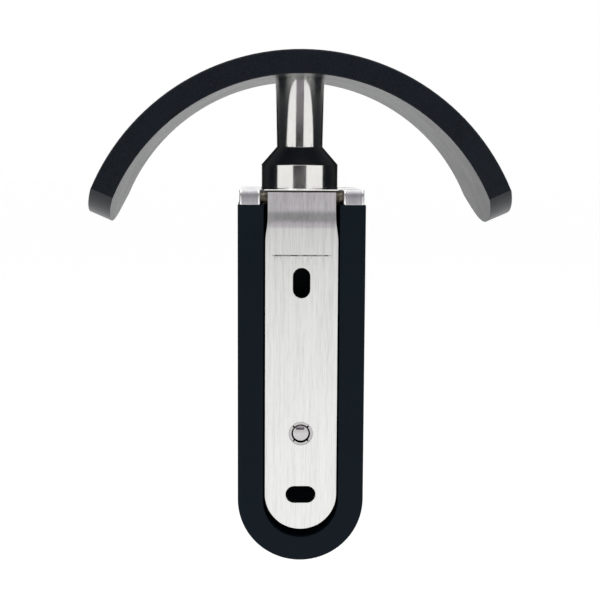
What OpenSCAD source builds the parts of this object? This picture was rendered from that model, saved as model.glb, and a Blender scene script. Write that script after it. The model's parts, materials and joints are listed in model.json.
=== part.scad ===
// Headphone hook: an arched rest on a steel post, on a black arm that folds onto a slotted mounting plate.
// Millimetres. +Z is up, the wall plane is Y = 0 and the hook reaches out along +Y.
// The origin lies on the wall plane, halfway between the two screw slots.

/* [Mounting plate] */
// Width of the plate
plate_w = 20; // [16:0.5:26]
// Sheet thickness
plate_t = 1.5; // [1.2:0.1:2.2]
// Width of the screw slots
slot_w = 4.8; // [4.2:0.1:6]
// Length of the screw slots
slot_l = 8.4; // [7:0.1:12]
// Distance between the slot centres
slot_spacing = 59.6; // [55:0.2:70]
// Distance from the lower slot's centre to the plate's round end
plate_end_drop = 9.9; // [8:0.1:14]
// Distance from the upper slot's centre to the hinge axis
hinge_rise = 23.4; // [21:0.1:30]
// Width of the neck
neck_w = 18.7; // [14:0.1:20]
// Distance that the bend sets the neck back from the wall
neck_set_back = 1; // [0.4:0.1:1.4]
// Distance that the neck leans back from the bend to its top
neck_lean = 0.3; // [0:0.1:1.2]
// Height of the neck above the hinge axis
neck_top_rise = 1.4; // [0.8:0.1:1.8]
// Distance from the hinge axis down to the upper end of the bend
bend_high_drop = 2; // [1.8:0.1:6]
// Height of the bend
bend_h = 6.6; // [1.8:0.1:9]
// Distance from the hinge axis down to where the neck starts to widen
flare_drop = 4.5; // [3.5:0.1:6]
// Height over which the neck widens to the plate
flare_h = 8.5; // [5:0.1:10]
// Distance from the hinge axis down to the bending mark
mark_drop = 15.8; // [14.5:0.1:18]
// Length of the bending mark
mark_l = 17; // [10:0.5:19]

/* [Arm] */
// Width of the arm
arm_w = 35.2; // [32:0.1:45]
// Depth of the arm, from back to front
arm_depth = 35; // [34:0.5:45]
// Length of the arm, from its flat top to its round end
arm_length = 100.2; // [97:0.1:120]
// Gap between the arm's back and the wall
wall_gap = 0.5; // [0.2:0.1:1]
// Bevel round the arm's front face
arm_front_edge = 1.5; // [0.5:0.1:3]
// Bevel round the arm's back face
arm_back_edge = 0.3; // [0.2:0.1:0.6]
// Depth of the pocket
pocket_depth = 13.5; // [11:0.5:18]
// Gap between the plate's edges and the pocket's sides
pocket_side_gap = 0.5; // [0.3:0.1:1]
// Gap between the plate's round end and the pocket's end
pocket_end_gap = 2.6; // [1:0.1:4]

/* [Hinge] */
// Diameter of the hinge pin
pin_d = 2; // [1.6:0.1:2.4]
// Outer diameter of the barrel
barrel_d = 3.7; // [3.4:0.1:4.2]
// Length of the barrel
barrel_l = 20.6; // [19.6:0.1:22]
// Depth of the groove in the neck that the barrel is joined in
barrel_seat = 0.4; // [0.2:0.05:0.6]
// Diameter of the washers
washer_d = 3.5; // [3.2:0.1:3.6]
// Thickness of the washers
washer_t = 1; // [0.6:0.1:1.4]
// Running gap between the pin and what turns on it, on the radius
pin_gap = 0.04; // [0.02:0.01:0.08]
// Side play at each end of the barrel
end_play = 0.06; // [0.04:0.01:0.1]
// Gap between the barrel and the arm's top
rail_gap = 0.14; // [0.04:0.02:0.8]
// Gap behind the barrel
notch_gap = 0.6; // [0.4:0.1:1.2]

/* [Yoke] */
// Height of the yoke
yoke_h = 4; // [4:0.1:5]
// Distance that the yoke stays inside the arm's sides and front
yoke_inset = 0.5; // [0.3:0.1:1.2]
// Bevel round the yoke's front
yoke_edge = 0.55; // [0.3:0.05:0.8]
// Height of the bevel along the foot of the yoke's ears
ear_foot_h = 0.4; // [0.2:0.05:0.8]
// Depth of that bevel, from back to front
ear_foot_run = 0.15; // [0.1:0.05:0.4]
// Height of the bevel along the notch behind the barrel
lip_h = 0.4; // [0.3:0.05:0.8]
// Depth of that bevel, from back to front
lip_run = 0.28; // [0.2:0.02:1.2]
// Distance of the yoke screws from the yoke's sides
yoke_screw_side = 3.3; // [3:0.1:3.8]
// Distance of the back yoke screws from the yoke's back
yoke_screw_back = 11; // [10:0.1:12]
// Distance of the front yoke screws from the yoke's front
yoke_screw_front = 3.6; // [3.3:0.1:4.5]

/* [Post] */
// Distance of the post's axis from the wall
post_y = 23; // [22.6:0.1:24]
// Height of the post, from the yoke to its seat in the arch
post_h = 31.7; // [26:0.1:45]
// Diameter of the foot
foot_d = 22.3; // [18:0.1:22.4]
// Height of the foot
foot_h = 6.7; // [5:0.1:9]
// Height of the cone above the foot
cone_h = 5.1; // [3:0.1:8]
// Diameter of the post where it leaves the cone
post_low_d = 13.4; // [11:0.1:14]
// Diameter of the post at the arch
post_top_d = 14.1; // [12:0.1:15]
// Bevel at the foot
foot_edge = 0.1; // [0.1:0.1:0.8]

/* [Arch] */
// Inner radius of the arch
arch_inner_r = 56.2; // [48:0.1:70]
// Thickness of the strip
arch_t = 6.5; // [5.5:0.1:9]
// Depth of the strip, from back to front
arch_depth = 45; // [36:0.5:45]
// Angle from the top of the arch to the corners of each end
arch_corner_angle = 66.5; // [55:0.1:70]
// How far the ends bow out, from the strip's corners to its tips
arch_end_bow = 7.8; // [3:0.1:14]
// Bevel along the strip's edges
arch_edge = 0.4; // [0.2:0.1:1]
// Depth of the post's seat in the arch
post_seat = 0.15; // [0.1:0.05:0.6]

/* [Snap] */
// Height of the snap above the lower slot's centre
snap_rise = 17.4; // [15:0.1:22]
// Diameter of the ball stud's head
ball_d = 4.7; // [4:0.1:5]
// Height of the dome on the head
dome_h = 0.35; // [0.25:0.05:1.8]
// How much narrower the dome is than the head, on the radius
dome_edge = 0.2; // [0.1:0.05:0.4]
// Height of the bevel between the dome and the head's full width
rim_h = 0.4; // [0.2:0.1:0.8]
// Distance from the wall plane to the tip of the dome
ball_recess = 0.25; // [0.2:0.05:0.6]
// Gap between the head and the socket, on the radius
ball_gap = 0.25; // [0.2:0.05:0.35]
// Wall of the socket
socket_wall = 0.35; // [0.3:0.05:0.5]
// Width of the socket's rim
socket_rim = 0.3; // [0.2:0.05:0.5]
// Thickness of the socket's rim
socket_rim_t = 0.4; // [0.3:0.05:0.6]
// Length of the socket
socket_l = 4; // [3:0.1:5]
// Width of the socket's slits
slit_w = 0.45; // [0.3:0.05:0.6]
// Diameter of the ball stud's shank
shank_d = 3; // [2.4:0.1:3.4]
// How much wider the ball stud's thread is than its shank
stud_step = 1; // [0.6:0.1:1.6]
// Diameter of the ball stud's flange
flange_d = 7; // [6:0.1:9]
// Thickness of the ball stud's flange
flange_t = 1.5; // [1:0.1:2.5]
// Length of the ball stud's thread
stud_thread_l = 7; // [5:0.5:9]

/* [Screws] */
// Diameter of the post screw
post_screw_d = 6; // [5:0.5:6]
// Length of the post screw's thread inside the post
post_screw_grip = 11; // [8:0.5:14]
// Diameter of the arch screw
arch_screw_d = 5; // [4:0.5:6]
// Length of the arch screw's thread inside the post
arch_screw_grip = 11; // [8:0.5:12]
// Diameter of the yoke screws
yoke_screw_d = 3; // [2.5:0.5:3]
// Length of the yoke screws' thread inside the arm
yoke_screw_grip = 8; // [6:0.5:12]
// Gap round a screw, on the radius
screw_gap = 0.06; // [0.02:0.01:0.15]
// Room past the end of a screw
screw_room = 1.5; // [0.5:0.5:3]

/* [Hidden] */
$fn = 72;

// Cutters reach this far past the surface that they open
over = 1;
// The strip is swept this many degrees past its tips before its ends are cut, with this much room round it
end_margin = 2;
end_room = 4;
// Steps of each smooth bend
bend_steps = 12;
// Depth and width of the bending mark
mark_depth = 0.14;
mark_w = 0.3;
// A cap head is this many screw diameters wide and high, and a countersunk head this many wide
cap_head_w = 1.65;
cap_head_h = 1;
sunk_head_w = 1.9;
// Key size and depth of a socket, in screw diameters
key_w = 0.6;
key_depth = 0.5;

// Places along the plate
upper_slot_z = slot_spacing / 2;
lower_slot_z = -slot_spacing / 2;
hinge_z = upper_slot_z + hinge_rise;
plate_end_z = lower_slot_z - plate_end_drop;
plate_round_z = plate_end_z + plate_w / 2;
neck_top_z = hinge_z + neck_top_rise;
bend_high_z = hinge_z - bend_high_drop;
bend_low_z = bend_high_z - bend_h;
flare_high_z = hinge_z - flare_drop;
flare_low_z = flare_high_z - flare_h;
mark_z = hinge_z - mark_drop;
snap_z = lower_slot_z + snap_rise;

// Hinge
barrel_r = barrel_d / 2;
neck_hinge_y = neck_set_back + neck_lean * bend_high_drop / (bend_high_drop + neck_top_rise);
hinge_y = neck_hinge_y + plate_t - barrel_seat + barrel_r;
washer_in = barrel_l / 2 + end_play;
ear_in = washer_in + washer_t + end_play;

// Arm
arm_back_y = wall_gap;
arm_front_y = wall_gap + arm_depth;
arm_top_z = hinge_z - barrel_r - rail_gap;
arm_round_z = arm_top_z - arm_length + arm_w / 2;
pocket_floor_y = wall_gap + pocket_depth;
pocket_half = plate_w / 2 + pocket_side_gap;
pocket_round_z = plate_end_z - pocket_end_gap + pocket_half;

// Yoke
yoke_half = arm_w / 2 - yoke_inset;
yoke_back_y = arm_back_y;
yoke_front_y = arm_front_y - yoke_inset;
yoke_top_z = arm_top_z + yoke_h;
notch_y = hinge_y + barrel_r + notch_gap;
knuckle_r = hinge_y - yoke_back_y;
knuckle_turn = asin((yoke_top_z - hinge_z) / knuckle_r);
yoke_screw_x = yoke_half - yoke_screw_side;
yoke_screw_ys = [yoke_back_y + yoke_screw_back, yoke_front_y - yoke_screw_front];

// Post and arch
post_top_z = yoke_top_z + post_h;
arch_z = post_top_z - post_seat - arch_inner_r;
arch_outer_r = arch_inner_r + arch_t;
arch_top_z = arch_z + arch_outer_r;
arch_end_r = (arch_depth * arch_depth / 4 + arch_end_bow * arch_end_bow) / (2 * arch_end_bow);

// Snap
ball_r = ball_d / 2;
dome_edge_r = ball_r - dome_edge;
dome_r = (dome_edge_r * dome_edge_r + dome_h * dome_h) / (2 * dome_h);
dome_y = ball_recess + dome_h;
rim_y = dome_y + rim_h;
socket_bore_r = ball_r + ball_gap;
socket_r = socket_bore_r + socket_wall;
socket_rim_r = socket_r + socket_rim;
socket_back_y = 0.1;
stud_thread_d = shank_d + stud_step;
stud_end_y = pocket_floor_y + stud_thread_l;

// Smooth step from 0 to 1
function ease(t) = t * t * t * (10 + t * (6 * t - 15));
// Points (side, z) of a smooth step in from side_low at z_low to side_high at z_high
function bend_points(side_low, side_high, z_low, z_high) = [
    for (i = [0 : bend_steps])
        let (t = i / bend_steps)
            [side_low + (side_high - side_low) * ease(t), z_low + (z_high - z_low) * t]
];
function mirrored(points) = [for (i = [len(points) - 1 : -1 : 0]) [-points[i].x, points[i].y]];
function rectangle(x0, x1, y0, y1, e) = [
    [x0 + e, y0], [x1 - e, y0], [x1, y0 + e], [x1, y1 - e],
    [x1 - e, y1], [x0 + e, y1], [x0, y1 - e], [x0, y0 + e]
];

// An outline in X and Z, made solid from y0 to y1
module solid_y(y0, y1) {
    translate([0, y1, 0]) rotate([90, 0, 0]) linear_extrude(y1 - y0) children();
}

// An outline in Y and Z, made solid from x0 to x1
module solid_x(x0, x1) {
    translate([x0, 0, 0]) rotate([90, 0, 90]) linear_extrude(x1 - x0) children();
}

// A rod along X at the hinge axis
module hinge_rod(r, x0, x1) {
    translate([x0, hinge_y, hinge_z]) rotate([0, 90, 0]) cylinder(r = r, h = x1 - x0);
}

// A rod along Y at the snap
module snap_rod(r, y0, y1) {
    translate([0, y0, snap_z]) rotate([-90, 0, 0]) cylinder(r = r, h = y1 - y0);
}

// A slot outline, upright unless level is true
module slot_outline(level) {
    run = (slot_l - slot_w) / 2;
    rotate(level ? 90 : 0) {
        square([slot_w, 2 * run], center = true);
        for (side = [-1, 1]) translate([0, side * run]) circle(d = slot_w);
    }
}

// A bar with a full-round lower end, with bevels of edge_back and edge_front round its faces
module pill(half, y0, y1, round_z, top_z, edge_back, edge_front) {
    section = [
        [0, y0], [half - edge_back, y0], [half, y0 + edge_back],
        [half, y1 - edge_front], [half - edge_front, y1], [0, y1]
    ];
    translate([0, 0, round_z]) {
        linear_extrude(top_z - round_z) polygon(concat(section, mirrored(section)));
        rotate([-90, 0, 0]) rotate_extrude() polygon(section);
    }
}

// A countersunk screw with its flat head at z = 0 and its shank going down
module sunk_screw(d, l) {
    head_r = d * sunk_head_w / 2;
    difference() {
        union() {
            translate([0, 0, -l]) cylinder(d = d, h = l);
            translate([0, 0, d / 2 - head_r]) cylinder(r1 = d / 2, r2 = head_r, h = head_r - d / 2);
        }
        translate([0, 0, -d * key_depth]) cylinder(d = d * key_w, h = d * key_depth + over, $fn = 6);
    }
}

// The hole for a countersunk screw, open above z = 0
module sunk_hole(d, l) {
    hole_r = d / 2 + screw_gap;
    head_r = d * sunk_head_w / 2 + screw_gap;
    translate([0, 0, -l]) cylinder(r = hole_r, h = l);
    translate([0, 0, hole_r - head_r]) cylinder(r1 = hole_r, r2 = head_r, h = head_r - hole_r);
    cylinder(r = head_r, h = over);
}

module at_yoke_screws() {
    for (side = [-1, 1], y = yoke_screw_ys) translate([side * yoke_screw_x, y, yoke_top_z]) children();
}

// Front outline of the plate, in X and Z
module plate_outline() {
    edge = bend_points(plate_w / 2, neck_w / 2, flare_low_z, flare_high_z);
    side = concat([[plate_w / 2, plate_round_z]], edge, [[neck_w / 2, neck_top_z]]);
    difference() {
        union() {
            polygon(concat(side, mirrored(side)));
            translate([0, plate_round_z]) circle(d = plate_w);
        }
        translate([0, upper_slot_z]) slot_outline(false);
        translate([0, lower_slot_z]) slot_outline(true);
    }
}

// Side outline of the bent sheet, in Y and Z
module sheet_outline() {
    top_y = neck_set_back + neck_lean;
    wall_face = bend_points(0, neck_set_back, bend_low_z, bend_high_z);
    room_face = [for (i = [len(wall_face) - 1 : -1 : 0]) wall_face[i] + [plate_t, 0]];
    polygon(concat(
        [[0, plate_end_z - over]], wall_face, [[top_y, neck_top_z]],
        [[top_y + plate_t, neck_top_z]], room_face, [[plate_t, plate_end_z - over]]
    ));
}

module mounting_plate() {
    color([0.86, 0.86, 0.85]) difference() {
        intersection() {
            solid_y(-over, neck_set_back + neck_lean + plate_t + over) plate_outline();
            solid_x(-plate_w, plate_w) sheet_outline();
        }
        hinge_rod(barrel_r, -plate_w, plate_w);
        snap_rod(socket_r + screw_gap, -over, plate_t + over);
        snap_rod(socket_rim_r + screw_gap, -over, socket_back_y + socket_rim_t);
        translate([-mark_l / 2, -over, mark_z - mark_w / 2]) cube([mark_l, over + mark_depth, mark_w]);
    }
}

module hinge_barrel() {
    color([0.45, 0.37, 0.28]) difference() {
        hinge_rod(barrel_r, -barrel_l / 2, barrel_l / 2);
        hinge_rod(pin_d / 2 + pin_gap, -barrel_l, barrel_l);
    }
}

module snap_socket() {
    color([0.72, 0.72, 0.73]) difference() {
        union() {
            snap_rod(socket_rim_r, socket_back_y, socket_back_y + socket_rim_t);
            snap_rod(socket_r, socket_back_y, socket_back_y + socket_l);
        }
        snap_rod(socket_bore_r, -over, socket_l + over);
        for (turn = [45, 135]) translate([0, 0, snap_z]) rotate([0, turn, 0])
            translate([-socket_rim_r - over, -over, -slit_w / 2])
                cube([2 * (socket_rim_r + over), over + socket_l * 0.7, slit_w]);
    }
}

module arm() {
    head_r = post_screw_d * cap_head_w / 2 + screw_gap;
    head_h = post_screw_d * cap_head_h + screw_room;
    color([0.11, 0.12, 0.14]) difference() {
        pill(arm_w / 2, arm_back_y, arm_front_y, arm_round_z, arm_top_z, arm_back_edge, arm_front_edge);
        pill(pocket_half, arm_back_y - over, pocket_floor_y, pocket_round_z, arm_top_z + over, 0, 0);
        translate([0, post_y, arm_top_z - head_h]) cylinder(r = head_r, h = head_h + over);
        at_yoke_screws() translate([0, 0, -yoke_h - yoke_screw_grip - screw_room])
            cylinder(r = yoke_screw_d / 2 + screw_gap, h = yoke_h + yoke_screw_grip + screw_room);
        snap_rod(stud_thread_d / 2 + screw_gap, pocket_floor_y - over, stud_end_y + screw_room);
    }
}

// Side outline of the yoke, in Y and Z. Its ears are round about the hinge axis above that axis
module yoke_side() {
    knuckle = [
        for (i = [0 : bend_steps])
            let (turn = knuckle_turn * i / bend_steps)
                [hinge_y - knuckle_r * cos(turn), hinge_z + knuckle_r * sin(turn)]
    ];
    polygon(concat(
        [[yoke_back_y + ear_foot_run, arm_top_z], [yoke_back_y, arm_top_z + ear_foot_h]], knuckle,
        [[yoke_front_y - yoke_edge, yoke_top_z], [yoke_front_y, yoke_top_z - yoke_edge]],
        [[yoke_front_y, arm_top_z + yoke_edge], [yoke_front_y - yoke_edge, arm_top_z]]
    ));
}

// Outline of the yoke seen from above, with the notch for the barrel
module yoke_plan() {
    half = [
        [0, notch_y], [ear_in, notch_y], [ear_in, yoke_back_y - over], [yoke_half, yoke_back_y - over],
        [yoke_half, yoke_front_y - yoke_edge], [yoke_half - yoke_edge, yoke_front_y], [0, yoke_front_y]
    ];
    polygon(concat(half, mirrored(half)));
}

module yoke() {
    lip_low_z = yoke_top_z - lip_h;
    lip = [
        [notch_y - over, lip_low_z - over], [notch_y, lip_low_z], [notch_y + lip_run, yoke_top_z],
        [notch_y + lip_run, yoke_top_z + over], [notch_y - over, yoke_top_z + over]
    ];
    color([0.68, 0.68, 0.68]) difference() {
        intersection() {
            solid_x(-yoke_half, yoke_half) yoke_side();
            translate([0, 0, arm_top_z]) linear_extrude(yoke_h) yoke_plan();
        }
        solid_x(-barrel_l / 2, barrel_l / 2) polygon(lip);
        hinge_rod(pin_d / 2, -arm_w, arm_w);
        translate([0, post_y, arm_top_z - over])
            cylinder(r = post_screw_d / 2 + screw_gap, h = yoke_h + 2 * over);
        at_yoke_screws() sunk_hole(yoke_screw_d, yoke_h + over);
    }
}

module yoke_screws() {
    color([0.6, 0.6, 0.61]) at_yoke_screws() sunk_screw(yoke_screw_d, yoke_h + yoke_screw_grip);
}

module hinge_pin() {
    half = yoke_half - yoke_edge;
    color([0.7, 0.7, 0.7]) hinge_rod(pin_d / 2, -half, half);
}

module hinge_washers() {
    color([0.5, 0.41, 0.3]) for (side = [0, 1]) mirror([side, 0, 0]) difference() {
        hinge_rod(washer_d / 2, washer_in, washer_in + washer_t);
        hinge_rod(pin_d / 2 + pin_gap, 0, arm_w);
    }
}

module post() {
    foot_r = foot_d / 2;
    foot_z = yoke_top_z + foot_h;
    low_hole = post_screw_grip + screw_room;
    top_hole = arch_screw_grip + screw_room;
    color([0.78, 0.78, 0.76]) difference() {
        translate([0, post_y, 0]) rotate_extrude() polygon([
            [0, yoke_top_z], [foot_r - foot_edge, yoke_top_z], [foot_r, yoke_top_z + foot_edge],
            [foot_r, foot_z], [post_low_d / 2, foot_z + cone_h], [post_top_d / 2, post_top_z], [0, post_top_z]
        ]);
        translate([0, post_y, yoke_top_z - over])
            cylinder(r = post_screw_d / 2 + screw_gap, h = low_hole + over);
        translate([0, post_y, post_top_z - top_hole])
            cylinder(r = arch_screw_d / 2 + screw_gap, h = top_hole + over);
    }
}

module post_screw() {
    head_h = post_screw_d * cap_head_h;
    key_h = post_screw_d * key_depth;
    color([0.55, 0.55, 0.56]) translate([0, post_y, arm_top_z]) difference() {
        union() {
            translate([0, 0, -head_h]) cylinder(d = post_screw_d * cap_head_w, h = head_h);
            cylinder(d = post_screw_d, h = yoke_h + post_screw_grip);
        }
        translate([0, 0, -head_h - over]) cylinder(d = post_screw_d * key_w, h = key_h + over, $fn = 6);
    }
}

// Rounds the right end of the strip, seen along its thickness at the corners
module end_cutter() {
    reach = 2 * arch_end_bow + end_room;
    low_r = arch_inner_r - end_room;
    wall = arch_t + 2 * end_room;
    translate([0, post_y, arch_z]) rotate([0, arch_corner_angle, 0]) difference() {
        translate([0, -arch_depth / 2 - over, low_r]) cube([reach, arch_depth + 2 * over, wall]);
        translate([arch_end_bow - arch_end_r, 0, low_r - over])
            cylinder(r = arch_end_r, h = wall + 2 * over, $fn = 180);
    }
}

module arch() {
    half = arch_depth / 2;
    sweep = arch_corner_angle + asin(arch_end_bow / arch_inner_r) + end_margin;
    color([0.13, 0.13, 0.15]) difference() {
        translate([0, post_y, arch_z]) rotate([90, 0, 0]) rotate([0, 0, 90 - sweep])
            rotate_extrude(angle = 2 * sweep, $fn = 144)
                polygon(rectangle(arch_inner_r, arch_outer_r, -half, half, arch_edge));
        for (end = [0, 1]) mirror([end, 0, 0]) end_cutter();
        translate([0, post_y, arch_z]) cylinder(d = post_top_d + 2 * screw_gap, h = post_top_z - arch_z);
        translate([0, post_y, arch_top_z - arch_edge]) sunk_hole(arch_screw_d, arch_t + over);
    }
}

module arch_screw() {
    head_z = arch_top_z - arch_edge;
    color([0.2, 0.2, 0.22]) translate([0, post_y, head_z])
        sunk_screw(arch_screw_d, head_z - post_top_z + arch_screw_grip);
}

module ball_stud() {
    color([0.85, 0.85, 0.86]) {
        intersection() {
            translate([0, ball_recess + dome_r, snap_z]) sphere(r = dome_r);
            snap_rod(dome_edge_r, ball_recess - over, dome_y);
        }
        translate([0, dome_y, snap_z]) rotate([-90, 0, 0])
            cylinder(r1 = dome_edge_r, r2 = ball_r, h = rim_h);
        translate([0, rim_y, snap_z]) rotate([-90, 0, 0])
            cylinder(r1 = ball_r, r2 = shank_d / 2, h = ball_r - shank_d / 2);
        snap_rod(shank_d / 2, rim_y, pocket_floor_y - flange_t);
        snap_rod(flange_d / 2, pocket_floor_y - flange_t, pocket_floor_y);
        snap_rod(stud_thread_d / 2, pocket_floor_y - flange_t, stud_end_y);
    }
}

mounting_plate();
hinge_barrel();
snap_socket();
arm();
yoke();
yoke_screws();
hinge_pin();
hinge_washers();
post();
post_screw();
arch();
arch_screw();
ball_stud();
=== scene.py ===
"""Looks of a folding headphone hook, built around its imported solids.

Every piece is in metres, in the solids' own frame: +Z is up, the wall plane is Y = 0 and the
hook reaches out along +Y. The camera looks at the hook from the wall's side, so it sees the
mounting plate.
"""

import json
import logging
import math
from dataclasses import dataclass
from enum import Enum, IntEnum
from typing import Callable, Optional, Sequence

import bmesh
import bpy
from mathutils import Matrix, Vector

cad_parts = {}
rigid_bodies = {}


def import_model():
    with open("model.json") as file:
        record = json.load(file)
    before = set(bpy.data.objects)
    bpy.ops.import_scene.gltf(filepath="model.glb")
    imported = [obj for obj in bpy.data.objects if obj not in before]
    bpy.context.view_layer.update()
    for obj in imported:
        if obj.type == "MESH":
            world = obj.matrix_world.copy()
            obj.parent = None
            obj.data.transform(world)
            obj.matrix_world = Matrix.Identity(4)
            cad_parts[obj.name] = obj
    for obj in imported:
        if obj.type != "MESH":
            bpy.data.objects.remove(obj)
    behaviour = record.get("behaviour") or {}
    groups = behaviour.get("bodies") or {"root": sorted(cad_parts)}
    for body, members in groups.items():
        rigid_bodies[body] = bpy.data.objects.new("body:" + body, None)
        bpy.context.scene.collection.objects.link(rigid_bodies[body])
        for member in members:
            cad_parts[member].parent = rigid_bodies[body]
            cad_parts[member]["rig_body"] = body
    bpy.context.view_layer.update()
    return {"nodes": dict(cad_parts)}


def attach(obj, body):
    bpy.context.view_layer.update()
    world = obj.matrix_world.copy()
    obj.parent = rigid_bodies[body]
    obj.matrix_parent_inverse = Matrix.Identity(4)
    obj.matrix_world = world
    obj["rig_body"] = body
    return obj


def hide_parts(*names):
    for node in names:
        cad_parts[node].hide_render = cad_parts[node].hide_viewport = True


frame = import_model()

MM = 0.001
LOG = logging.getLogger("headphone_hook")

# The map that brushing lines follow. A share of Y leans it, so that faces along Y have a width.
GRAIN_MAP = "grain"
GRAIN_LEAN = 0.35

# Points closer than this are one, and faces that turn less than this are one flat face.
MERGE_M = 2e-6
FLAT_DEG = 0.4
SMOOTH_DEG = 40.0

Colour = tuple[float, float, float]
Corners = tuple[tuple[float, ...], ...]
WHITE: Colour = (1.0, 1.0, 1.0)


class Sum(Enum):
    """An operation of the Math node."""

    ABSOLUTE = "ABSOLUTE"
    ADD = "ADD"
    LESS_THAN = "LESS_THAN"
    MAXIMUM = "MAXIMUM"
    MULTIPLY = "MULTIPLY"
    SUBTRACT = "SUBTRACT"


class Layer(IntEnum):
    """The number of a piece's material."""

    BODY = 0
    EDGE = 1


def opaque(colour: Colour) -> tuple[float, float, float, float]:
    """Returns the colour with a full alpha."""
    return (*colour, 1.0)


def shaded(colour: Colour, factor: float) -> Colour:
    """Returns the colour, lighter or darker by a factor."""
    return tuple(min(1.0, channel * factor) for channel in colour)


def three_tones(colour: Colour, reach: float, dark: float,
                light: float) -> list[tuple[float, Colour]]:
    """Returns the stops of a ramp from a darker to a lighter tone of a colour.

    Args:
        colour: The colour in the middle.
        reach: How far the outer stops lie from the middle.
        dark: Factor of the darker tone.
        light: Factor of the lighter tone.

    Returns:
        Places and their colours.
    """
    return [(0.5 - reach, shaded(colour, dark)), (0.5, colour), (0.5 + reach, shaded(colour, light))]


class NodeGraph:
    """A material's node tree, with short calls for the nodes that the finishes share."""

    def __init__(self, name: str) -> None:
        """Starts a material that holds only its output and a Principled shader.

        Args:
            name: The material's name.
        """
        self.material = bpy.data.materials.new(name)
        self.material.use_nodes = True
        self.tree = self.material.node_tree
        self.tree.nodes.clear()
        self.output = self.node("ShaderNodeOutputMaterial")
        self.shader = self.node("ShaderNodeBsdfPrincipled")
        self.link(self.shader.outputs["BSDF"], self.output.inputs["Surface"])

    def node(self, kind: str, **settings: object) -> bpy.types.Node:
        """Adds a node.

        Args:
            kind: The node's type name.
            settings: Attributes to set on the node.

        Returns:
            The new node.
        """
        node = self.tree.nodes.new(kind)
        for key, value in settings.items():
            setattr(node, key, value)
        return node

    def link(self, source: bpy.types.NodeSocket, target: bpy.types.NodeSocket) -> None:
        """Links an output socket to an input socket."""
        self.tree.links.new(source, target)

    def place(self, scale: Sequence[float]) -> bpy.types.NodeSocket:
        """Returns the piece's own coordinates, scaled along each axis.

        Args:
            scale: Features per metre along X, Y and Z.

        Returns:
            The scaled vector.
        """
        coordinates = self.node("ShaderNodeTexCoord")
        mapping = self.node("ShaderNodeMapping")
        mapping.inputs["Scale"].default_value = scale
        self.link(coordinates.outputs["Object"], mapping.inputs["Vector"])
        return mapping.outputs["Vector"]

    def noise(self, vector: bpy.types.NodeSocket, detail: float,
              rough: float = 0.5) -> bpy.types.NodeSocket:
        """Adds noise whose features are one unit of the vector wide.

        Args:
            vector: Where the noise is read.
            detail: Octaves of finer noise.
            rough: Strength of the finer octaves.

        Returns:
            The noise's value.
        """
        noise = self.node("ShaderNodeTexNoise")
        noise.inputs["Scale"].default_value = 1.0
        noise.inputs["Detail"].default_value = detail
        noise.inputs["Roughness"].default_value = rough
        self.link(vector, noise.inputs["Vector"])
        return noise.outputs["Fac"]

    def ramp(self, value: bpy.types.NodeSocket,
             stops: Sequence[tuple[float, Colour]]) -> bpy.types.NodeSocket:
        """Turns a value into a colour.

        Args:
            value: The value, from 0 to 1.
            stops: Places and their colours.

        Returns:
            The colour.
        """
        ramp = self.node("ShaderNodeValToRGB")
        elements = ramp.color_ramp.elements
        while len(elements) < len(stops):
            elements.new(0.5)
        for element, (place, colour) in zip(elements, stops):
            element.position = place
            element.color = opaque(colour)
        self.link(value, ramp.inputs["Fac"])
        return ramp.outputs["Color"]

    def spread(self, value: bpy.types.NodeSocket, low: float, high: float,
               start: float = 0.3, end: float = 0.7) -> bpy.types.NodeSocket:
        """Maps a value's middle range onto new limits.

        Args:
            value: The value.
            low: The result at start.
            high: The result at end.
            start: The value that gives low.
            end: The value that gives high.

        Returns:
            The mapped value.
        """
        mapped = self.node("ShaderNodeMapRange")
        limits = {"From Min": start, "From Max": end, "To Min": low, "To Max": high}
        for name, number in limits.items():
            mapped.inputs[name].default_value = number
        self.link(value, mapped.inputs["Value"])
        return mapped.outputs["Result"]

    def math(self, operation: Sum, first: bpy.types.NodeSocket,
             second: object = 0.0) -> bpy.types.NodeSocket:
        """Combines a value with another value or number.

        Args:
            operation: What is done with them.
            first: The first value.
            second: The second value, a socket or a number.

        Returns:
            The result.
        """
        node = self.node("ShaderNodeMath", operation=operation.value)
        self.link(first, node.inputs[0])
        if isinstance(second, (int, float)):
            node.inputs[1].default_value = second
        else:
            self.link(second, node.inputs[1])
        return node.outputs["Value"]

    def blend(self, first: bpy.types.NodeSocket, second: bpy.types.NodeSocket,
              share: float) -> bpy.types.NodeSocket:
        """Adds two values by weight.

        Args:
            first: The first value.
            second: The second value.
            share: The first value's weight. The second has the rest.

        Returns:
            The weighted sum.
        """
        return self.math(Sum.ADD, self.math(Sum.MULTIPLY, first, share),
                         self.math(Sum.MULTIPLY, second, 1.0 - share))

    def axis(self, name: str) -> bpy.types.NodeSocket:
        """Returns one of the piece's own coordinates in metres, by its name X, Y or Z."""
        split = self.node("ShaderNodeSeparateXYZ")
        self.link(self.node("ShaderNodeTexCoord").outputs["Object"], split.inputs["Vector"])
        return split.outputs[name]

    def mix(self, amount: bpy.types.NodeSocket, base: bpy.types.NodeSocket,
            colour: Colour) -> bpy.types.NodeSocket:
        """Lays a colour over another.

        Args:
            amount: How much of the colour shows, from 0 to 1.
            base: The colour below.
            colour: The colour on top.

        Returns:
            The mixed colour.
        """
        node = self.node("ShaderNodeMix", data_type="RGBA")
        factor, below, above = node.inputs[0], node.inputs[6], node.inputs[7]
        self.link(amount, factor)
        self.link(base, below)
        above.default_value = opaque(colour)
        return node.outputs[2]

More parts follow.
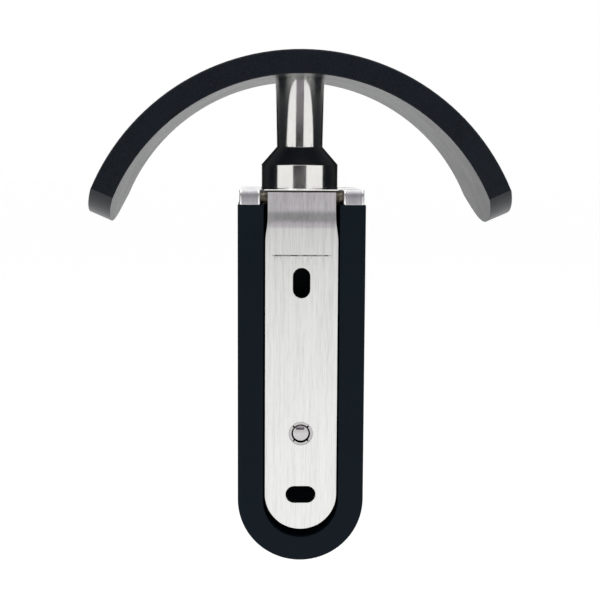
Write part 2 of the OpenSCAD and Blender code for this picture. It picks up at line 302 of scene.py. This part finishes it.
    def bump(self, height: bpy.types.NodeSocket, depth_mm: float) -> None:
        """Raises the surface by a height.

        Args:
            height: The height, from 0 to 1.
            depth_mm: Depth of the relief in millimetres.
        """
        bump = self.node("ShaderNodeBump")
        bump.inputs["Strength"].default_value = 1.0
        bump.inputs["Distance"].default_value = depth_mm * MM
        self.link(height, bump.inputs["Height"])
        self.link(bump.outputs["Normal"], self.shader.inputs["Normal"])

    def lay_grain(self, stretch: float) -> None:
        """Draws reflections out across the brushing lines, which run along the map's second axis.

        Args:
            stretch: How far they are drawn out, from 0 to 1.
        """
        tangent = self.node("ShaderNodeTangent", direction_type="UV_MAP", uv_map=GRAIN_MAP)
        self.link(tangent.outputs["Tangent"], self.shader.inputs["Tangent"])
        self.set(Anisotropic=stretch)

    def set(self, **values: object) -> None:
        """Sets constant values on the shader's own sockets, named with _ for a space."""
        for name, value in values.items():
            self.shader.inputs[name.replace("_", " ")].default_value = value


@dataclass(frozen=True)
class BendingMark:
    """The dark, ragged line that a bending tool has left across a sheet, and a smear below it.

    Attributes:
        z_mm: Height of the line.
        half_mm: Half its length.
        fade_mm: Length over which each end fades.
        width_mm: Its width.
        full_share: Share of the width at which it starts to fade, from its middle.
        breaks_per_m: How often it breaks in a metre.
        smear_mm: Height of the smear.
        smear_share: How much of the smear shows right under the line.
        streaks_per_m: How often the smear's streaks come along X, Y and Z.
        colour: Its colour.
    """

    z_mm: float
    half_mm: float = 8.4
    fade_mm: float = 1.2
    width_mm: float = 0.46
    full_share: float = 0.2
    breaks_per_m: float = 900.0
    smear_mm: float = 3.0
    smear_share: float = 0.3
    streaks_per_m: tuple[float, float, float] = (1500.0, 1500.0, 250.0)
    colour: Colour = (0.03, 0.03, 0.035)

    def over(self, graph: NodeGraph, base: bpy.types.NodeSocket) -> bpy.types.NodeSocket:
        """Lays the mark over a sheet's colour.

        Args:
            graph: The sheet's material.
            base: The sheet's colour.

        Returns:
            The marked colour.
        """
        width = self.width_mm * MM
        above = graph.math(Sum.SUBTRACT, graph.axis("Z"), self.z_mm * MM)
        line = graph.spread(graph.math(Sum.ABSOLUTE, above), 1.0, 0.0, self.full_share * width, 0.5 * width)
        side = graph.math(Sum.ABSOLUTE, graph.axis("X"))
        inside = graph.spread(side, 1.0, 0.0, (self.half_mm - self.fade_mm) * MM, self.half_mm * MM)
        breaks = graph.noise(graph.place([self.breaks_per_m] * 3), detail=3.0, rough=0.7)
        ragged = graph.spread(breaks, 0.4, 1.0, 0.36, 0.54)
        dark = graph.math(Sum.MULTIPLY, graph.math(Sum.MULTIPLY, line, inside), ragged)
        below = graph.spread(above, 0.0, self.smear_share, -self.smear_mm * MM, 0.0)
        under = graph.math(Sum.MULTIPLY, below, graph.math(Sum.LESS_THAN, above))
        streaks = graph.spread(graph.noise(graph.place(self.streaks_per_m), detail=2.0), 0.0, 1.0, 0.5, 0.66)
        smear = graph.math(Sum.MULTIPLY, graph.math(Sum.MULTIPLY, under, streaks), inside)
        return graph.mix(graph.math(Sum.MAXIMUM, dark, smear), base, self.colour)


@dataclass(frozen=True)
class BrushedSteel:
    """Stainless steel with fine, upright lines from a brush.

    Attributes:
        name: The material's name.
        colour: The metal's colour.
        roughness: Roughness between the lines.
        line_mm: Width and length of a fine line.
        line_share: Weight of the fine lines against the streaks.
        band_mm: Width and length of a broad, faint streak.
        tones: Factors of the darkest and lightest tone.
        depth_mm: Depth of the lines.
        stretch: How far reflections are drawn out across the lines.
        mark: A bending mark on it.
    """

    name: str
    colour: Colour
    roughness: float
    line_mm: tuple[float, float] = (0.3, 7.0)
    line_share: float = 0.6
    band_mm: tuple[float, float] = (1.1, 36.0)
    tones: tuple[float, float] = (0.84, 1.1)
    depth_mm: float = 0.00015
    stretch: float = 0.95
    mark: Optional[BendingMark] = None

    @staticmethod
    def scale(size_mm: tuple[float, float]) -> list[float]:
        """Returns features per metre along X, Y and Z for upright lines of a width and length."""
        width, length = size_mm
        return [1.0 / (MM * size) for size in (width, width, length)]

    def material(self) -> bpy.types.Material:
        """Returns the finish as a material."""
        graph = NodeGraph(self.name)
        lines = graph.noise(graph.place(self.scale(self.line_mm)), detail=3.0, rough=0.6)
        bands = graph.noise(graph.place(self.scale(self.band_mm)), detail=2.0)
        both = graph.blend(lines, bands, self.line_share)
        colour = graph.ramp(both, three_tones(self.colour, 0.14, *self.tones))
        if self.mark:
            colour = self.mark.over(graph, colour)
        graph.link(colour, graph.shader.inputs["Base Color"])
        rough = graph.spread(both, self.roughness - 0.04, self.roughness + 0.06)
        graph.link(rough, graph.shader.inputs["Roughness"])
        graph.bump(lines, self.depth_mm)
        graph.lay_grain(self.stretch)
        graph.set(Metallic=1.0)
        return graph.material


@dataclass(frozen=True)
class PolishedSteel:
    """Steel turned on a lathe and polished, with faint rings and a trace of handling.

    Attributes:
        name: The material's name.
        colour: The metal's colour.
        roughness: Roughness of the clean surface.
        ring_mm: Pitch of the turning rings.
        depth_mm: Depth of the rings.
        haze_per_m: How often the traces of handling come along X, Y and Z.
        tones: Factors of the darkest and lightest tone.
        shade_from_y_mm: Y from which the metal is painted dark: painted shade in the recess behind the
            polished face.
        shade_colour: The painted shade's colour.
        shade_fade_mm: Depth over which the painted shade sets in.
    """

    name: str
    colour: Colour
    roughness: float
    ring_mm: float = 0.12
    depth_mm: float = 0.0006
    haze_per_m: tuple[float, float, float] = (260.0, 260.0, 160.0)
    tones: tuple[float, float] = (0.93, 1.03)
    shade_from_y_mm: Optional[float] = None
    shade_colour: Colour = (0.012, 0.011, 0.012)
    shade_fade_mm: float = 0.05

    def material(self) -> bpy.types.Material:
        """Returns the finish as a material."""
        graph = NodeGraph(self.name)
        ring = 1.0 / (self.ring_mm * MM)
        along = 0.02 * ring
        rings = graph.noise(graph.place([along, along, ring]), detail=2.0)
        haze = graph.noise(graph.place(self.haze_per_m), detail=4.0, rough=0.6)
        dark, light = self.tones
        colour = graph.ramp(haze, [(0.35, shaded(self.colour, dark)), (0.65, shaded(self.colour, light))])
        # Painted shade: beyond a depth along Y the colour turns dark, standing in for the shade in the
        # recess behind the face.
        if self.shade_from_y_mm is not None:
            start = self.shade_from_y_mm * MM
            end = start + self.shade_fade_mm * MM
            painted_shade_mask = graph.spread(graph.axis("Y"), 0.0, 1.0, start, end)
            colour = graph.mix(painted_shade_mask, colour, self.shade_colour)
        graph.link(colour, graph.shader.inputs["Base Color"])
        rough = graph.spread(haze, self.roughness * 0.8, self.roughness * 1.5)
        graph.link(rough, graph.shader.inputs["Roughness"])
        graph.bump(rings, self.depth_mm)
        graph.set(Metallic=1.0)
        return graph.material


@dataclass(frozen=True)
class BlackCoat:
    """A black coat on metal, with a fine grain.

    Attributes:
        name: The material's name.
        colour: The coat's colour.
        roughness: Roughness of the coat.
        grain_mm: Size of the grains.
        depth_mm: Depth of the grain.
        gloss: The shader's specular level.
        grain_share: Weight of the grain against the clouds.
        clouds_per_m: How often broad, faint clouds come in a metre.
        tones: Factors of the darkest and lightest tone.
    """

    name: str
    colour: Colour
    roughness: float
    grain_mm: float
    depth_mm: float
    gloss: float = 0.5
    grain_share: float = 0.7
    clouds_per_m: float = 90.0
    tones: tuple[float, float] = (0.8, 1.3)

    def material(self) -> bpy.types.Material:
        """Returns the finish as a material."""
        graph = NodeGraph(self.name)
        per_metre = 1.0 / (self.grain_mm * MM)
        grains = graph.noise(graph.place([per_metre] * 3), detail=2.0, rough=0.55)
        clouds = graph.noise(graph.place([self.clouds_per_m] * 3), detail=3.0)
        both = graph.blend(grains, clouds, self.grain_share)
        colour = graph.ramp(both, three_tones(self.colour, 0.16, *self.tones))
        graph.link(colour, graph.shader.inputs["Base Color"])
        rough = graph.spread(both, self.roughness - 0.06, self.roughness + 0.08)
        graph.link(rough, graph.shader.inputs["Roughness"])
        graph.bump(grains, self.depth_mm)
        graph.set(Specular_IOR_Level=self.gloss)
        return graph.material


@dataclass(frozen=True)
class Bronze:
    """Bearing bronze with a brown tarnish.

    Attributes:
        name: The material's name.
        colour: The clean metal's colour.
        tarnish: The tarnish's colour.
        roughness: Roughness of the clean metal.
        spots_per_m: How often spots of tarnish come in a metre.
        depth_mm: Depth of the spots.
    """

    name: str
    colour: Colour
    tarnish: Colour
    roughness: float
    spots_per_m: float = 1400.0
    depth_mm: float = 0.004

    def material(self) -> bpy.types.Material:
        """Returns the finish as a material."""
        graph = NodeGraph(self.name)
        spots = graph.noise(graph.place([self.spots_per_m] * 3), detail=4.0, rough=0.65)
        colour = graph.ramp(spots, [(0.35, self.tarnish), (0.62, self.colour)])
        graph.link(colour, graph.shader.inputs["Base Color"])
        rough = graph.spread(spots, self.roughness + 0.14, self.roughness - 0.06)
        graph.link(rough, graph.shader.inputs["Roughness"])
        graph.bump(spots, self.depth_mm)
        graph.set(Metallic=1.0)
        return graph.material


@dataclass(frozen=True)
class Edge:
    """The rounding that a sharp edge gets.

    Attributes:
        radius_mm: Radius of the rounding.
        segments: Faces across it.
        sharp_deg: An edge that turns more than this is sharp.
        shortest_mm: An edge shorter than this, such as a step of a hole's rim, stays sharp.
        takes: Says whether an edge with the given ends is rounded.
        finish: The rounding's material.
    """

    radius_mm: float
    segments: int = 3
    sharp_deg: float = 24.0
    shortest_mm: float = 0.0
    takes: Callable[[Vector, Vector], bool] = lambda start, end: True
    finish: Layer = Layer.BODY

    def round_off(self, shape: bmesh.types.BMesh) -> None:
        """Rounds a shape's sharp edges.

        Args:
            shape: The shape, which is changed.
        """
        chosen = [
            line for line in shape.edges
            if len(line.link_faces) == 2
            and line.calc_face_angle(0.0) > math.radians(self.sharp_deg)
            and line.calc_length() >= self.shortest_mm * MM
            and self.takes(line.verts[0].co, line.verts[1].co)
        ]
        rounding = bmesh.ops.bevel(
            shape, geom=chosen, offset=self.radius_mm * MM, segments=self.segments, profile=0.5,
            affect="EDGES", clamp_overlap=True)
        for face in rounding["faces"]:
            face.material_index = self.finish


def rounded_piece(node: str, name: str, *edges: Edge,
                  finish: Callable[[Vector], Layer] = lambda normal: Layer.BODY
                  ) -> bpy.types.Object:
    """Makes a piece in a solid's shape whose sharp edges are rounded, and hides the solid.

    Args:
        node: The solid's name.
        name: The new piece's name.
        edges: The roundings, in order.
        finish: Gives the material of a face with the given normal.

    Returns:
        The new piece, which rides on the solid's body.
    """
    solid = frame["nodes"][node]
    shape = bmesh.new()
    shape.from_mesh(solid.data)
    bmesh.ops.remove_doubles(shape, verts=shape.verts, dist=MERGE_M)
    bmesh.ops.dissolve_limit(shape, angle_limit=math.radians(FLAT_DEG), verts=shape.verts,
                             edges=shape.edges)
    shape.normal_update()
    for face in shape.faces:
        face.material_index = finish(face.normal)
    for edge in edges:
        edge.round_off(shape)
    mesh = bpy.data.meshes.new(name)
    shape.to_mesh(mesh)
    shape.free()
    if "custom_normal" in mesh.attributes:
        mesh.attributes.remove(mesh.attributes["custom_normal"])
    grain = mesh.uv_layers.new(name=GRAIN_MAP)
    for loop in mesh.loops:
        x, y, z = mesh.vertices[loop.vertex_index].co
        grain.data[loop.index].uv = (x + GRAIN_LEAN * y, z + y)
    mesh.shade_smooth()
    mesh.set_sharp_from_angle(angle=math.radians(SMOOTH_DEG))
    piece = bpy.data.objects.new(name, mesh)
    bpy.context.scene.collection.objects.link(piece)
    normals = piece.modifiers.new("flat_faces", "WEIGHTED_NORMAL")
    normals.keep_sharp = True
    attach(piece, solid["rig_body"])
    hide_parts(node)
    return piece


def dress(piece: bpy.types.Object, *materials: bpy.types.Material,
          slot: Optional[str] = None) -> None:
    """Gives a piece its materials.

    Args:
        piece: The piece.
        materials: The finishes, in the order of Layer.
        slot: The record's material slot, for a new piece. Not used.
    """
    if piece.data.materials:
        piece.data.materials.clear()
    for material in materials:
        piece.data.materials.append(material)
    LOG.info("%s: %s", piece.name, ", ".join(material.name for material in materials))


@dataclass
class WallMount:
    """The plate that is screwed to the wall, with its hinge barrel and snap socket.

    Attributes:
        edge_mm: Radius of the sheet's edges.
        mark_room_mm: Room beside the bending mark in which edges stay sharp.
        plate: Finish of the plate.
        barrel: Finish of the hinge barrel.
        socket: Finish of the snap socket.
    """

    edge_mm: float = 0.14
    mark_room_mm: float = 1.0
    plate: BrushedSteel = BrushedSteel(
        "plate_brushed_steel", (0.82, 0.82, 0.805), 0.38, mark=BendingMark(z_mm=37.4))
    barrel: Bronze = Bronze("barrel_bronze", (0.13, 0.115, 0.088), (0.05, 0.045, 0.035), 0.5)
    # The socket is painted dark beyond 0.12 mm along Y: painted shade in the bore around the ball.
    socket: PolishedSteel = PolishedSteel("socket_steel", (0.5, 0.49, 0.49), 0.16, shade_from_y_mm=0.12)

    def off_mark(self, start: Vector, end: Vector) -> bool:
        """Returns whether an edge lies away from the bending mark, whose edges stay sharp."""
        mark, middle = self.plate.mark, (start + end) / (2.0 * MM)
        beside = abs(middle.x) > mark.half_mm + self.mark_room_mm
        return abs(middle.z - mark.z_mm) > mark.width_mm or beside

    def build(self) -> None:
        """Builds and dresses the pieces."""
        edge = Edge(self.edge_mm, takes=self.off_mark)
        plate = rounded_piece("mounting_plate", "plate_strip", edge)
        dress(plate, self.plate.material(), slot="plate_steel")
        dress(frame["nodes"]["hinge_barrel"], self.barrel.material())
        dress(frame["nodes"]["snap_socket"], self.socket.material())


@dataclass
class ArmAssembly:
    """The black arm, the yoke on its top, the hinge's fixed pieces and the ball stud.

    Attributes:
        arm_edge: Rounding of the arm's edges.
        ear_edge_mm: Radius of the upright edges of the yoke's ears.
        yoke_edge_mm: Radius of the yoke's other edges.
        ears_y_mm: Y up to which the ears' edges lie.
        notch_y_mm: Y up to which the yoke's other edges stay sharp.
        step_mm: An edge of the yoke shorter than this stays sharp.
        highlight_rise: A face of the yoke whose normal rises more than this gets the painted highlight.
        arm: Finish of the arm.
        yoke: Finish of the yoke.
        yoke_top_highlight: A lighter, smoother copy of the yoke's steel on its top and on the ears' rounded
            edges: a painted highlight.
        screws: Finish of the yoke's screws and the post's screw.
        pin: Finish of the hinge pin.
        washers: Finish of the hinge washers.
        ball: Finish of the ball stud.
    """

    arm_edge: Edge = Edge(0.3)
    ear_edge_mm: float = 0.55
    yoke_edge_mm: float = 0.12
    ears_y_mm: float = 1.4
    notch_y_mm: float = 7.6
    step_mm: float = 0.4
    highlight_rise: float = 0.56
    arm: BlackCoat = BlackCoat(
        "arm_black_anodised", (0.005, 0.0097, 0.0146), 0.4, grain_mm=0.14, depth_mm=0.003, gloss=0.07)
    yoke: BrushedSteel = BrushedSteel("yoke_brushed_steel", (0.46, 0.45, 0.47), 0.42, stretch=0.3)
    yoke_top_highlight: PolishedSteel = PolishedSteel("yoke_steel_painted_highlight", (0.9, 0.9, 0.89), 0.12)
    screws: PolishedSteel = PolishedSteel("screw_steel", (0.6, 0.6, 0.61), 0.24)
    pin: PolishedSteel = PolishedSteel("pin_steel", (0.68, 0.68, 0.69), 0.2)
    washers: Bronze = Bronze("washer_bronze", (0.2, 0.18, 0.14), (0.08, 0.072, 0.058), 0.45)
    # The stud is painted dark beyond 0.62 mm along Y: painted shade on the parts of its head that lie deeper
    # than the dome.
    ball: PolishedSteel = PolishedSteel(
        "ball_polished_steel", (0.54, 0.53, 0.53), 0.08, shade_from_y_mm=0.62)

    def on_ear(self, start: Vector, end: Vector) -> bool:
        """Returns whether an edge runs up the back of an ear, along its side."""
        upright_edge = abs(start.x - end.x) < 0.01 * MM
        return max(start.y, end.y) < self.ears_y_mm * MM and upright_edge

    def off_notch(self, start: Vector, end: Vector) -> bool:
        """Returns whether an edge lies behind the notch that the barrel is in."""
        return min(start.y, end.y) > self.notch_y_mm * MM

    def highlight_layer(self, normal: Vector) -> Layer:
        """Returns the material of a face of the yoke by its normal: upward faces get the painted highlight.
        """
        return Layer.EDGE if normal.z > self.highlight_rise else Layer.BODY

    def build(self) -> None:
        """Builds and dresses the pieces."""
        arm = rounded_piece("arm", "arm_body", self.arm_edge)
        dress(arm, self.arm.material(), slot="arm_black")
        # Painted highlight: the ears' upright rounded edges and the yoke's upward faces take the lighter
        # steel of the second layer.
        yoke = rounded_piece(
            "yoke", "yoke_block",
            Edge(self.ear_edge_mm, segments=5, takes=self.on_ear, finish=Layer.EDGE),
            Edge(self.yoke_edge_mm, shortest_mm=self.step_mm, takes=self.off_notch),
            finish=self.highlight_layer)
        dress(yoke, self.yoke.material(), self.yoke_top_highlight.material(), slot="yoke_steel")
        steel = self.screws.material()
        for node in ("yoke_screws", "post_screw"):
            dress(frame["nodes"][node], steel)
        dress(frame["nodes"]["hinge_pin"], self.pin.material())
        dress(frame["nodes"]["hinge_washers"], self.washers.material())
        dress(frame["nodes"]["ball_stud"], self.ball.material())


@dataclass
class Rest:
    """The post and the arch that the headband lies on.

    Attributes:
        post_edge: Rounding of the post's edges.
        arch_edge: Rounding of the arch's edges.
        post: Finish of the post.
        arch: Finish of the arch.
        arch_rim_painted_shade: A darker, matt copy of the coat on the arch's rounded edges: a painted shade
            that keeps them dark.
        screw: Finish of the arch's screw.
    """

    post_edge: Edge = Edge(0.2)
    arch_edge: Edge = Edge(0.35, finish=Layer.EDGE)
    post: PolishedSteel = PolishedSteel("post_polished_steel", (0.83, 0.82, 0.79), 0.1)
    arch: BlackCoat = BlackCoat(
        "arch_black_textured", (0.0075, 0.0106, 0.016), 0.3, grain_mm=0.34, depth_mm=0.022, gloss=0.14)
    arch_rim_painted_shade: BlackCoat = BlackCoat(
        "arch_black_painted_shade", (0.003, 0.0042, 0.006), 0.7, grain_mm=0.34, depth_mm=0.01, gloss=0.02)
    screw: BlackCoat = BlackCoat(
        "screw_black_oxide", (0.03, 0.03, 0.033), 0.35, grain_mm=0.1, depth_mm=0.002)

    def build(self) -> None:
        """Builds and dresses the pieces."""
        post = rounded_piece("post", "post_turned", self.post_edge)
        dress(post, self.post.material(), slot="post_steel")
        # Painted shade: the arch's rounded edges take a darker, matt copy of its coat.
        arch = rounded_piece("arch", "arch_strip", self.arch_edge)
        dress(arch, self.arch.material(), self.arch_rim_painted_shade.material(), slot="arch_black")
        dress(frame["nodes"]["arch_screw"], self.screw.material())


def upright(start: tuple[float, float], end: tuple[float, float], low: float, high: float) -> Corners:
    """Returns the corners of an upright card.

    Args:
        start: X and Y of its first side.
        end: X and Y of its second side.
        low: Height of its lower edge.
        high: Height of its upper edge.

    Returns:
        The four corners in metres.
    """
    return ((*start, low), (*end, low), (*end, high), (*start, high))


def across(x0: float, x1: float, y: float, low: float, high: float) -> Corners:
    """Returns the corners of an upright card that lies along X, from x0 to x1."""
    return upright((x0, y), (x1, y), low, high)


@dataclass(frozen=True)
class Card:
    """A card beside the set, which metal reflects and the camera doesn't see.

    Attributes:
        name: The card's name.
        corners: Its corners in metres.
        colour: Its colour.
    """

    name: str
    corners: Corners
    colour: Colour

    def build(self) -> None:
        """Stands the card up as part of the stage."""
        mesh = bpy.data.meshes.new(self.name)
        mesh.from_pydata(self.corners, [], [tuple(range(len(self.corners)))])
        card = bpy.data.objects.new(self.name, mesh)
        bpy.context.scene.collection.objects.link(card)
        graph = NodeGraph(self.name)
        graph.set(Base_Color=opaque(self.colour), Roughness=0.9, Specular_IOR_Level=0.0)
        mesh.materials.append(graph.material)
        card.visible_camera = False
        card.visible_diffuse = False
        card.visible_shadow = False


FRONT_Y = -0.45
REAR_Y = 1.2
SIDE_X = 0.5
BLACK: Colour = (0.02, 0.02, 0.022)


@dataclass
class Studio:
    """The floor, the light and the cards.

    Attributes:
        floor_z: Height of the floor in metres.
        floor_half: Half the floor's side in metres.
        floor_colour: The floor's grey.
        floor_glow: How much the floor adds where it is seen, so that it shows white.
        sky_level: The surrounding light's strength.
        lamp_place: Where the right lamp hangs, in metres. The left one mirrors it.
        lamp_aim: The point that the lamps face.
        lamp_side: Side of a lamp in metres.
        lamp_power: Power of a lamp in watts.
        cards: The cards. Those by the camera show in the post, those in front of the hook in the
            plate's neck and bend, and the black ones in the sides of the post and its cone.
    """

    floor_z: float = -0.16
    floor_half: float = 12.0
    floor_colour: float = 0.82
    floor_glow: float = 0.455
    sky_level: float = 0.62
    lamp_place: tuple[float, float, float] = (0.36, -0.4, 0.98)
    lamp_aim: tuple[float, float, float] = (0.0, 0.02, 0.03)
    lamp_side: float = 0.6
    lamp_power: float = 2.2
    cards: Sequence[Card] = (
        Card("card_camera_low", across(-0.18, 0.155, FRONT_Y, 0.026, 0.066), (0.04, 0.038, 0.041)),
        Card("card_camera_high", across(-0.18, 0.155, FRONT_Y, 0.066, 0.108), (0.34, 0.32, 0.345)),
        Card("card_front_base", across(-0.9, 0.9, FRONT_Y, 0.108, 0.13), (0.94, 0.84, 0.98)),
        Card("card_front_low", across(-0.9, 0.9, FRONT_Y, 0.13, 0.19), (0.86, 0.79, 0.89)),
        Card("card_front_mid", across(-0.9, 0.9, FRONT_Y, 0.19, 0.25), (0.6, 0.59, 0.61)),
        Card("card_front_high", across(-0.9, 0.9, FRONT_Y, 0.25, 0.42), (0.28, 0.278, 0.29)),
        Card("card_left", upright((-SIDE_X, -0.16), (-SIDE_X, REAR_Y), -0.04, 0.22), BLACK),
        Card("card_right", upright((SIDE_X, -0.16), (SIDE_X, REAR_Y), -0.04, 0.22), BLACK),
        Card("card_rear_left", across(-1.4, -0.12, REAR_Y, 0.14, 1.6), BLACK),
        Card("card_rear_right", across(0.12, 1.4, REAR_Y, 0.14, 1.6), BLACK),
    )

    @staticmethod
    def seen_ray(tree: bpy.types.NodeTree) -> bpy.types.NodeSocket:
        """Returns 1 for a ray of the camera, a reflection or a transmission, and 0 for any other.

        Args:
            tree: The node tree to add to.

        Returns:
            The value.
        """
        path = tree.nodes.new("ShaderNodeLightPath")
        value = path.outputs["Is Camera Ray"]
        for name in ("Is Glossy Ray", "Is Transmission Ray"):
            larger = tree.nodes.new("ShaderNodeMath")
            larger.operation = Sum.MAXIMUM.value
            tree.links.new(value, larger.inputs[0])
            tree.links.new(path.outputs[name], larger.inputs[1])
            value = larger.outputs["Value"]
        return value

    def sky(self) -> None:
        """Sets the surrounding light, which shows as white."""
        world = bpy.data.worlds.new("studio")
        bpy.context.scene.world = world
        world.use_nodes = True
        tree = world.node_tree
        background = tree.nodes["Background"]
        background.inputs["Color"].default_value = opaque(WHITE)
        level = tree.nodes.new("ShaderNodeMapRange")
        level.inputs["To Min"].default_value = self.sky_level
        level.inputs["To Max"].default_value = 1.0
        tree.links.new(self.seen_ray(tree), level.inputs["Value"])
        tree.links.new(level.outputs["Result"], background.inputs["Strength"])

    def floor(self) -> None:
        """Lays the pale floor."""
        half, low = self.floor_half, self.floor_z
        mesh = bpy.data.meshes.new("floor")
        points = [(-half, -half, low), (half, -half, low), (half, half, low), (-half, half, low)]
        mesh.from_pydata(points, [], [(0, 1, 2, 3)])
        floor = bpy.data.objects.new("floor", mesh)
        bpy.context.scene.collection.objects.link(floor)
        graph = NodeGraph("floor_white")
        graph.set(Base_Color=opaque((self.floor_colour,) * 3), Roughness=0.85)
        graph.set(Specular_IOR_Level=0.2, Emission_Color=opaque(WHITE))
        glow = graph.math(Sum.MULTIPLY, self.seen_ray(graph.tree), self.floor_glow)
        graph.link(glow, graph.shader.inputs["Emission Strength"])
        mesh.materials.append(graph.material)

    def lamp(self, name: str, side: float) -> None:
        """Hangs a square soft light.

        Args:
            name: The light's name.
            side: 1 for the right one, -1 for the left one.
        """
        light = bpy.data.lights.new(name, "AREA")
        light.shape = "SQUARE"
        light.size = self.lamp_side
        light.energy = self.lamp_power
        x, y, z = self.lamp_place
        place = Vector((side * x, y, z))
        lamp = bpy.data.objects.new(name, light)
        lamp.location = place
        lamp.rotation_euler = (Vector(self.lamp_aim) - place).to_track_quat("-Z", "Y").to_euler()
        bpy.context.scene.collection.objects.link(lamp)

    def build(self) -> None:
        """Sets the stage."""
        self.sky()
        self.floor()
        for card in self.cards:
            card.build()
        self.lamp("softbox_left", -1.0)
        self.lamp("softbox_right", 1.0)
        bpy.context.scene.view_settings.view_transform = "Standard"


@dataclass(frozen=True)
class View:
    """The camera, matched to the photograph.

    Attributes:
        place_mm: Where it stands.
        pitch: How far it looks down, in radians.
        yaw: How far it turns towards +X, in radians.
        roll: How far it is tilted, in radians.
        lens_mm: Focal length.
        sensor_mm: Width of the sensor.
    """

    place_mm: tuple[float, float, float] = (-11.774, -341.743, 65.39)
    pitch: float = 0.1172
    yaw: float = 0.0332
    roll: float = 0.0053
    lens_mm: float = 75.0
    sensor_mm: float = 36.0

    def build(self) -> None:
        """Sets up the camera."""
        data = bpy.data.cameras.new("photo_camera")
        data.sensor_width = self.sensor_mm
        data.lens = self.lens_mm
        data.clip_start = 0.01
        data.clip_end = 100.0
        camera = bpy.data.objects.new("photo_camera", data)
        bpy.context.scene.collection.objects.link(camera)
        turn = Matrix.Rotation(self.roll, 3, "Y") @ Matrix.Rotation(self.pitch, 3, "X")
        right, ahead, up = (turn @ Matrix.Rotation(self.yaw, 3, "Z"))
        axes = Matrix((right, up, -ahead)).transposed()
        camera.matrix_world = Matrix.Translation(Vector(self.place_mm) * MM) @ axes.to_4x4()
        bpy.context.scene.camera = camera


def corners(box: Sequence[Vector]) -> list[list[float]]:
    """Returns a box's lowest and highest corner as plain numbers."""
    return [[round(value, 6) for value in corner] for corner in box]


def main() -> None:
    """Builds the camera, the pieces and the stage in order."""
    logging.basicConfig(level=logging.INFO, format="%(name)s: %(message)s")
    View().build()
    for assembly in (WallMount(), ArmAssembly(), Rest()):
        assembly.build()
    Studio().build()


if __name__ == "__main__":
    main()
